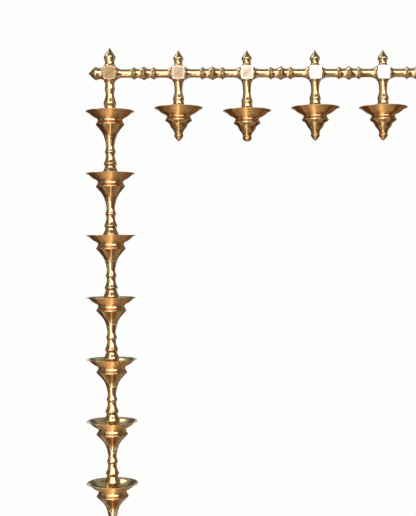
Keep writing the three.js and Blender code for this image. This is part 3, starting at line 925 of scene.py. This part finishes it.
def build_finishes(finish):
    """Makes the shared groups and the brass finishes once."""
    for make in (lathe_lines_group, hand_tarnish_group, wear_and_highlight_group, hand_polish_group,
                 brush_strokes_group, face_middle_group, soft_panel_group):
        make()
    polish = finish.polish_roughness
    satin = finish.satin_roughness
    cone = [0.8 * part for part in finish.inside]
    # Name, colour, roughness, the lathe lines' pitch in millimetres and strength, film, wear, pits and grain
    for name, colour, *amounts in (
            ("polished brass", finish.polished, polish, 0.9, 0.2, 1.0, 0.8, 0.25, 0.5),
            ("rail brass", finish.polished, polish + 0.07, 0.9, 0.15, 1.0, 0.8, 0.25, 0.5),
            ("turned underside", finish.flank, satin, 1.3, 1.0, 0.6, 0.8, 0.3, 1.0),
            ("bowl inside", finish.inside, satin - 0.19, 1.6, 0.6, 0.9, 0.6, 0.5, 0.5),
            ("matt cone", cone, satin - 0.14, 1.0, 0.7, 0.9, 0.8, 0.5, 0.6),
            ("warm brass", finish.warm, polish + 0.1, 0.9, 0.2, 1.0, 0.8, 0.3, 0.85)):
        turned_brass(name, finish, colour, *amounts)
    brushed_brass("brushed block", finish, finish.face)
    # The first blocks get copies of the face colour painted darker as shade
    for number, share in enumerate(PAINTED_FACE_SHADE):
        face = [share * dull + (1 - share) * bright for dull, bright in zip(finish.shaded_face, finish.face)]
        brushed_brass(f"shaded block {number + 1}", finish, face)


def finishes(*names):
    """The finished materials of these names."""
    return [bpy.data.materials[name] for name in names]


def finish_bowl(piece):
    """The inside, the turned underside of the flank, and the warm taper or bulb. The rest stays polished."""
    for face in piece.data.polygons:
        height = face.center.z / MM
        outward = Vector((face.center.x, face.center.y, 0)).normalized()
        faces_in = face.normal.dot(outward) < 0.3 and face.normal.z > -0.2
        if height > INSIDE_END and faces_in:
            face.material_index = INSIDE
        elif FLANK_END < height < LIP_END and face.normal.z < 0:
            face.material_index = UNDERSIDE
        elif height < TAPER_START:
            face.material_index = TAPER


def finish_cone(piece):
    """The duller finish on the upper cone of a finial."""
    start = 0.54 * max(vertex.co.z for vertex in piece.data.vertices)
    for face in piece.data.polygons:
        if face.center.z > start and face.normal.z > 0.25:
            face.material_index = 1


# Pieces

class DIYA_OT_cross_blocks(Operator):
    """Model one cross block with rounded edges and drilled sockets, and copy it along the rail"""
    bl_idname = "diya.cross_blocks"
    bl_label = "Cross Blocks"

    def execute(self, context):
        sizes = context.scene.diya_sizes
        low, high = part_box("cross_block_1")
        size = Vector(high) - Vector(low)
        block = self.rounded_block(sizes, size)
        self.drill_sockets(block, sizes, size)
        self.mark_faces(block, sizes, size)
        names = [f"cross_block_{number}" for number in range(1, BLOCKS + 1)]
        blocks = [block] + [copied(block, name + "_brushed") for name in names[1:]]
        for number, (piece, name) in enumerate(zip(blocks, names)):
            # The first blocks take the copies of the face painted darker as shade
            finish = f"shaded block {number + 1}" if number < len(PAINTED_FACE_SHADE) else "brushed block"
            stand_in_for(piece, name, finishes(finish), Matrix.Translation(axis_of(name)))
        return {"FINISHED"}

    def rounded_block(self, sizes, size):
        """A cube with four rounded long corners and rounded front and rear edges."""
        deselect_all()
        bpy.ops.mesh.primitive_cube_add(size=1)
        block = bpy.context.object
        block.name = block.data.name = "cross_block_1_brushed"
        front = 0.5 * size.y - 0.01 * MM

        def ends(edge):
            return [block.data.vertices[number].co for number in edge.vertices]

        def runs_through(edge):
            start, end = ends(edge)
            return abs(end.y - start.y) > 0.5 * size.y

        def on_rim(edge):
            return all(abs(end.y) > front and self.on_outline(end, sizes, size) for end in ends(edge))

        bpy.ops.object.mode_set(mode="EDIT")
        bpy.ops.mesh.select_all(action="SELECT")
        bpy.ops.transform.resize(value=size)
        self.select_where(block, "EDGE", runs_through)
        bpy.ops.mesh.bevel(offset=sizes.block_corner, segments=6, affect="EDGES")
        self.select_where(block, "FACE", lambda face: abs(face.normal.y) > 0.9)
        bpy.ops.mesh.inset(thickness=0.9 * sizes.block_edge, depth=0)
        self.select_where(block, "EDGE", on_rim)
        bpy.ops.mesh.bevel(offset=0.8 * sizes.block_edge, segments=4, affect="EDGES")
        bpy.ops.object.mode_set(mode="OBJECT")
        return block

    def select_where(self, block, kind, wanted):
        """Selects the edges or the faces that pass a test, and nothing else."""
        bpy.ops.mesh.select_mode(type=kind)
        bpy.ops.mesh.select_all(action="DESELECT")
        bpy.ops.object.mode_set(mode="OBJECT")
        for part in block.data.edges if kind == "EDGE" else block.data.polygons:
            part.select = wanted(part)
        bpy.ops.object.mode_set(mode="EDIT")

    def on_outline(self, spot, sizes, size):
        """Whether a vertex of the front or rear face lies on its outline rather than on the inset."""
        corner = sizes.block_corner
        x = abs(spot.x) - (0.5 * size.x - corner)
        z = abs(spot.z) - (0.5 * size.z - corner)
        reach = math.hypot(x, z) if x > 0 and z > 0 else max(x, z)
        return reach > corner - 0.3 * MM

    def drill_sockets(self, block, sizes, size):
        """Cuts the four sockets with round drills, a millimetre deeper than the studs."""
        depth = sizes.block_stud + MM
        for axis, reach in (("X", 0.5 * size.x), ("Z", 0.5 * size.z)):
            for side in (-1, 1):
                deselect_all()
                turn = (0, math.pi / 2, 0) if axis == "X" else (0, 0, 0)
                place = (side * reach, 0, 0) if axis == "X" else (0, 0, side * reach)
                bpy.ops.mesh.primitive_cylinder_add(vertices=32, radius=sizes.socket, depth=2 * depth,
                                                    location=place, rotation=turn)
                drill = bpy.context.object
                deselect_all()
                block.select_set(True)
                bpy.context.view_layer.objects.active = block
                cut = block.modifiers.new("socket", "BOOLEAN")
                cut.operation = "DIFFERENCE"
                cut.object = drill
                cut.solver = "EXACT"
                bpy.ops.object.modifier_apply(modifier=cut.name)
                bpy.data.meshes.remove(drill.data)
        bpy.ops.object.shade_smooth_by_angle(angle=SMOOTH_ANGLE)

    def mark_faces(self, block, sizes, size):
        """High relief on the front and rear faces and their rounded edges, and a map with 0 in the middle of
        a face and 1 on its outline."""
        relief = block.data.attributes.new("relief", "FLOAT", "POINT")
        for vertex in block.data.vertices:
            high = 0.5 * size.y - abs(vertex.co.y) < 1.2 * sizes.block_edge
            relief.data[vertex.index].value = 0.86 if high else 0.68
        shares = block.data.uv_layers.new(name="face")
        for loop in block.data.loops:
            spot = block.data.vertices[loop.vertex_index].co
            shares.data[loop.index].uv = (2 * spot.x / size.x, 2 * spot.z / size.z)


class DIYA_OT_rail_spindles(Operator):
    """Turn one rail spindle and lay copies of it between the blocks"""
    bl_idname = "diya.rail_spindles"
    bl_label = "Rail Spindles"

    def execute(self, context):
        sizes = context.scene.diya_sizes
        names = [f"rail_spindle_{number}" for number in range(1, BLOCKS)]
        low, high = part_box(names[0])
        half = (high[0] - low[0]) / 2 - sizes.block_stud
        lying = Matrix.Rotation(math.pi / 2, 4, "Y")
        like_pieces(names, spindle_rows(sizes, in_mm(half)), sizes.stem_steps, sizes, finishes("rail brass"),
                    [Matrix.Translation(axis_of(name)) @ lying for name in names])
        return {"FINISHED"}


class DIYA_OT_block_finials(Operator):
    """Turn the finials of the blocks: the top ones, the larger corner one and the two on the rail's ends"""
    bl_idname = "diya.block_finials"
    bl_label = "Block Finials"

    def execute(self, context):
        sizes = context.scene.diya_sizes
        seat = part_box("top_finial_1")[0][2] + sizes.block_stud
        corner = finial_rows(sizes, base=12.5, waist=9.4, shoulder=11.9,
                             waist_height=8.2, shoulder_height=19.6, length=38.3)
        top = finial_rows(sizes, base=11.5, waist=7.7, shoulder=10.5,
                          waist_height=7, shoulder_height=16.4, length=32.6)
        end = finial_rows(sizes, base=12.9, waist=11.2, shoulder=13.3,
                          waist_height=6, shoulder_height=16.2, length=29.8)
        tops = [f"top_finial_{number}" for number in range(2, BLOCKS + 1)]
        ends = ["left_end_finial", "right_end_finial"]
        left, right = (axis_of(name) for name in ends)
        left.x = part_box(ends[0])[1][0] - sizes.block_stud
        right.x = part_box(ends[1])[0][0] + sizes.block_stud
        lying = [Matrix.Translation(place) @ Matrix.Rotation(turn, 4, "Y")
                 for place, turn in ((left, -math.pi / 2), (right, math.pi / 2))]
        for names, rows, placements in (
                (["top_finial_1"], corner, [upright("top_finial_1", seat)]),
                (tops, top, [upright(name, seat) for name in tops]),
                (ends, end, lying)):
            like_pieces(names, rows, sizes.stem_steps, sizes, finishes("polished brass", "matt cone"),
                        placements, finish_cone)
        return {"FINISHED"}


class DIYA_OT_hangers(Operator):
    """Turn the stems that hang under the blocks"""
    bl_idname = "diya.hangers"
    bl_label = "Hangers"

    def execute(self, context):
        sizes = context.scene.diya_sizes
        low_name = f"pendant_{LOW_PENDANT}_hanger"
        names = [f"pendant_{number}_hanger" for number in range(1, PENDANTS + 1) if number != LOW_PENDANT]
        for group, make_rows in ((names, pendant_hanger_rows), ([low_name], pendant_hanger_rows),
                                 (["column_hanger"], column_hanger_rows)):
            low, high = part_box(group[0])
            top = high[2] - low[2] - sizes.bowl_stud - sizes.block_stud
            seats = [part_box(name)[0][2] + sizes.bowl_stud for name in group]
            like_pieces(group, make_rows(sizes, in_mm(top)), sizes.stem_steps, sizes,
                        finishes("polished brass"), [upright(name, seat) for name, seat in zip(group, seats)])
        return {"FINISHED"}


class DIYA_OT_column_stems(Operator):
    """Turn one stem of the column and copy it between the bowls"""
    bl_idname = "diya.column_stems"
    bl_label = "Column Stems"

    def execute(self, context):
        sizes = context.scene.diya_sizes
        names = [f"column_stem_{number}" for number in range(1, COLUMN_BOWLS)]
        low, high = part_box(names[0])
        top = high[2] - low[2] - 2 * sizes.bowl_stud
        like_pieces(names, column_stem_rows(sizes, in_mm(top)), sizes.stem_steps, sizes,
                    finishes("polished brass"),
                    [upright(name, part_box(name)[0][2] + sizes.bowl_stud) for name in names])
        return {"FINISHED"}


class DIYA_OT_bowls(Operator):
    """Turn the lamp bowls: alike on the pendants, and each a little wider down the column"""
    bl_idname = "diya.bowls"
    bl_label = "Bowls"

    def execute(self, context):
        sizes = context.scene.diya_sizes
        names = [f"pendant_{number}_bowl" for number in range(1, PENDANTS + 1)]
        self.turn_bowls(sizes, names, end_bowl_rows, sizes.pendant_ledge, sizes.pendant_ledge_drop)
        for number in range(COLUMN_BOWLS):
            last = number == COLUMN_BOWLS - 1
            name = "column_end_bowl" if last else f"column_bowl_{number + 1}"
            ledge = sizes.column_ledge + number * sizes.ledge_growth
            make_rows = end_bowl_rows if last else through_bowl_rows
            self.turn_bowls(sizes, [name], make_rows, ledge, sizes.column_ledge_drop)
        return {"FINISHED"}

    def turn_bowls(self, sizes, names, make_rows, ledge, ledge_drop):
        """Turns one bowl and copies it for every name; a bowl's rim is as wide as its node."""
        low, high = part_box(names[0])
        rim = (high[0] - low[0]) / 2
        rows = make_rows(sizes, in_mm(rim), in_mm(ledge), in_mm(ledge_drop))
        like_pieces(names, rows, sizes.bowl_steps, sizes,
                    finishes("polished brass", "turned underside", "bowl inside", "warm brass"),
                    [upright(name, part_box(name)[1][2]) for name in names], finish_bowl)


class DIYA_OT_drop_finials(Operator):
    """Turn the pointed drops under the end bowls, and the round knob under the low one"""
    bl_idname = "diya.drop_finials"
    bl_label = "Drop Finials"

    def execute(self, context):
        sizes = context.scene.diya_sizes
        knob = f"pendant_{LOW_PENDANT}_drop_finial"
        drops = [f"pendant_{number}_drop_finial" for number in range(1, PENDANTS + 1)
                 if number != LOW_PENDANT] + ["column_end_drop_finial"]
        for group, pointed in ((drops, True), ([knob], False)):
            seats = [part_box(name)[1][2] - sizes.bowl_stud for name in group]
            like_pieces(group, drop_rows(sizes, pointed), sizes.stem_steps, sizes, finishes("warm brass"),
                        [upright(name, seat) for name, seat in zip(group, seats)])
        return {"FINISHED"}


class DIYA_OT_stage(Operator):
    """Set up the camera, the floor, the white surroundings and the studio lamps"""
    bl_idname = "diya.stage"
    bl_label = "Stage"

    def execute(self, context):
        stage = context.scene.diya_stage
        self.place_camera(context, stage)
        self.lay_floor(stage)
        self.paint_world(context, stage)
        for lamp in LAMPS:
            self.hang_lamp(context, *lamp)
        context.scene.view_settings.view_transform = "Standard"
        return {"FINISHED"}

    def place_camera(self, context, stage):
        """The camera looks along its yaw and pitch, and its roll turns it about that line."""
        yaw, pitch, roll = stage.camera_yaw, stage.camera_pitch, stage.camera_roll
        forward = Vector((math.sin(yaw) * math.cos(pitch), math.cos(yaw) * math.cos(pitch), math.sin(pitch)))
        level = Vector((math.cos(yaw), -math.sin(yaw), 0))
        upward = level.cross(forward)
        right = math.cos(roll) * level + math.sin(roll) * upward
        up = -math.sin(roll) * level + math.cos(roll) * upward
        lens = bpy.data.cameras.new("camera")
        lens.sensor_width = 36
        lens.lens = stage.lens
        camera = bpy.data.objects.new("camera", lens)
        turn = Matrix((right, up, -forward)).transposed().to_4x4()
        camera.matrix_world = Matrix.Translation(stage.camera_place) @ turn
        context.collection.objects.link(camera)
        context.scene.camera = camera

    def lay_floor(self, stage):
        """A round floor under the frame that fades into the white surroundings at its rim."""
        low, high = CAD_BOX
        deselect_all()
        bpy.ops.mesh.primitive_circle_add(vertices=96, radius=stage.floor_radius, fill_type="NGON")
        floor = bpy.context.object
        floor.name = floor.data.name = "floor"
        middle = Vector(((low[0] + high[0]) / 2, (low[1] + high[1]) / 2, low[2] - stage.floor_drop))
        floor.data.transform(Matrix.Translation(middle))
        nodes = new_material("pale floor")
        place = nodes.add("ShaderNodeTexCoord").outputs["Object"]
        offset = nodes.add("ShaderNodeVectorMath", {0: place, 1: middle}, operation="SUBTRACT").outputs[0]
        reach = nodes.add("ShaderNodeVectorMath", {0: offset}, operation="LENGTH").outputs["Value"]
        fade = nodes.remap(reach, 0.75 * stage.floor_radius, 0.98 * stage.floor_radius)
        grain = nodes.remap(nodes.noise(place, 9.0, 4.0), 0.3, 0.7)
        darker = [0.95 * part for part in stage.floor]
        colour = nodes.mix(nodes.product(grain, 0.3), tuple(stage.floor), darker)
        matt = nodes.add("ShaderNodeBsdfPrincipled", {"Base Color": colour, "Roughness": 0.85})
        glow = nodes.add("ShaderNodeEmission", {"Color": (*stage.backdrop, 1)})
        sight = nodes.add("ShaderNodeLightPath")
        least_glow = 0.7
        seen = nodes.product(sight.outputs["Is Camera Ray"], nodes.math("MAXIMUM", fade, least_glow))
        through = nodes.math("MAXIMUM", sight.outputs["Is Glossy Ray"], sight.outputs["Is Transmission Ray"])
        share = nodes.math("MAXIMUM", seen, nodes.product(through, fade))
        blended = nodes.add("ShaderNodeMixShader", {0: share, 1: matt.outputs[0], 2: glow.outputs[0]})
        nodes.add("ShaderNodeOutputMaterial", {"Surface": blended.outputs[0]})
        floor.data.materials.append(bpy.data.materials["pale floor"])

    def paint_world(self, context, stage):
        """White to the camera. The brass sees that white behind it, and a dark room with soft panels round
        it."""
        world = bpy.data.worlds.new("studio")
        context.scene.world = world
        world.use_nodes = True
        world.node_tree.nodes.clear()
        nodes = Nodes(world.node_tree)
        direction = nodes.add("ShaderNodeTexCoord").outputs["Generated"]
        parts = nodes.add("ShaderNodeSeparateXYZ", {"Vector": direction})
        room = nodes.add("ShaderNodeValToRGB", {"Fac": nodes.remap(parts.outputs["Z"], -1, 1)})
        ramp = room.color_ramp
        ramp.elements[0].color = (*ROOM[0][1], 1)
        ramp.elements[1].color = (*ROOM[-1][1], 1)
        for height, colour in ROOM[1:-1]:
            ramp.elements.new(height).color = (*colour, 1)
        front = nodes.product(parts.outputs["Y"], -1.0)
        azimuth = nodes.math("DEGREES", nodes.math("ARCTAN2", parts.outputs["X"], front))
        elevation = nodes.math("DEGREES", nodes.math("ARCSINE", parts.outputs["Z"]))
        shown = room.outputs[0]
        for left, right, bottom, top, soft, brightness, colour in PANELS:
            panel = group_node(nodes, "Soft Panel", {
                "Azimuth": azimuth, "Elevation": elevation, "Left": left, "Right": right, "Bottom": bottom,
                "Top": top, "Soft": soft})
            bright = tuple(brightness * part for part in colour)
            shown = nodes.mix(panel.outputs["Inside"], shown, bright)
        sight = nodes.add("ShaderNodeLightPath")
        # Mirrored rays begin to see the white 15 degrees from straight back, and see only white within 8
        behind = nodes.remap(parts.outputs["Y"], 0.965, 0.99)
        mirrored = nodes.product(sight.outputs["Is Glossy Ray"], behind)
        direct = nodes.math("MAXIMUM", sight.outputs["Is Camera Ray"], sight.outputs["Is Transmission Ray"])
        shown = nodes.mix(nodes.math("MAXIMUM", direct, mirrored), shown, tuple(stage.backdrop))
        light = nodes.add("ShaderNodeBackground", {"Color": shown, "Strength": 1.0})
        nodes.add("ShaderNodeOutputWorld", {"Surface": light.outputs[0]})

    def hang_lamp(self, context, name, place, target, size, brightness, colour):
        """An area lamp turned to a target, hidden from the camera. At brightness 1 its mirror image is
        white."""
        lamp = bpy.data.lights.new(name, "AREA")
        lamp.shape = "RECTANGLE"
        lamp.size, lamp.size_y = size
        lamp.energy = brightness * math.pi * size[0] * size[1]
        lamp.color = colour
        holder = bpy.data.objects.new(name, lamp)
        towards = Vector(target) - Vector(place)
        turn = towards.to_track_quat("-Z", "Y").to_matrix().to_4x4()
        holder.matrix_world = Matrix.Translation(place) @ turn
        holder.visible_camera = False
        context.collection.objects.link(holder)


class DIYA_PT_panel(Panel):
    """Lists the pieces of the frame and the stage"""
    bl_idname = "DIYA_PT_panel"
    bl_label = "Hanging Diya Frame"
    bl_space_type = "VIEW_3D"
    bl_region_type = "UI"
    bl_category = "Diya"

    def draw(self, context):
        for operator in STEPS:
            self.layout.operator(operator.bl_idname)
        for group in (context.scene.diya_sizes, context.scene.diya_finish, context.scene.diya_stage):
            for name in group.__annotations__:
                self.layout.prop(group, name)


STEPS = (DIYA_OT_cross_blocks, DIYA_OT_rail_spindles, DIYA_OT_block_finials, DIYA_OT_hangers,
         DIYA_OT_column_stems, DIYA_OT_bowls, DIYA_OT_drop_finials, DIYA_OT_stage)
CLASSES = (DiyaSizes, DiyaFinish, DiyaStage) + STEPS + (DIYA_PT_panel,)


def register():
    for kind in CLASSES:
        bpy.utils.register_class(kind)
    bpy.types.Scene.diya_sizes = PointerProperty(type=DiyaSizes)
    bpy.types.Scene.diya_finish = PointerProperty(type=DiyaFinish)
    bpy.types.Scene.diya_stage = PointerProperty(type=DiyaStage)


def unregister():
    del bpy.types.Scene.diya_stage
    del bpy.types.Scene.diya_finish
    del bpy.types.Scene.diya_sizes
    for kind in reversed(CLASSES):
        bpy.utils.unregister_class(kind)


def main():
    register()
    build_finishes(bpy.context.scene.diya_finish)
    bpy.ops.diya.cross_blocks()
    bpy.ops.diya.rail_spindles()
    bpy.ops.diya.block_finials()
    bpy.ops.diya.hangers()
    bpy.ops.diya.column_stems()
    bpy.ops.diya.bowls()
    bpy.ops.diya.drop_finials()
    bpy.ops.diya.stage()


if __name__ == "__main__":
    main()
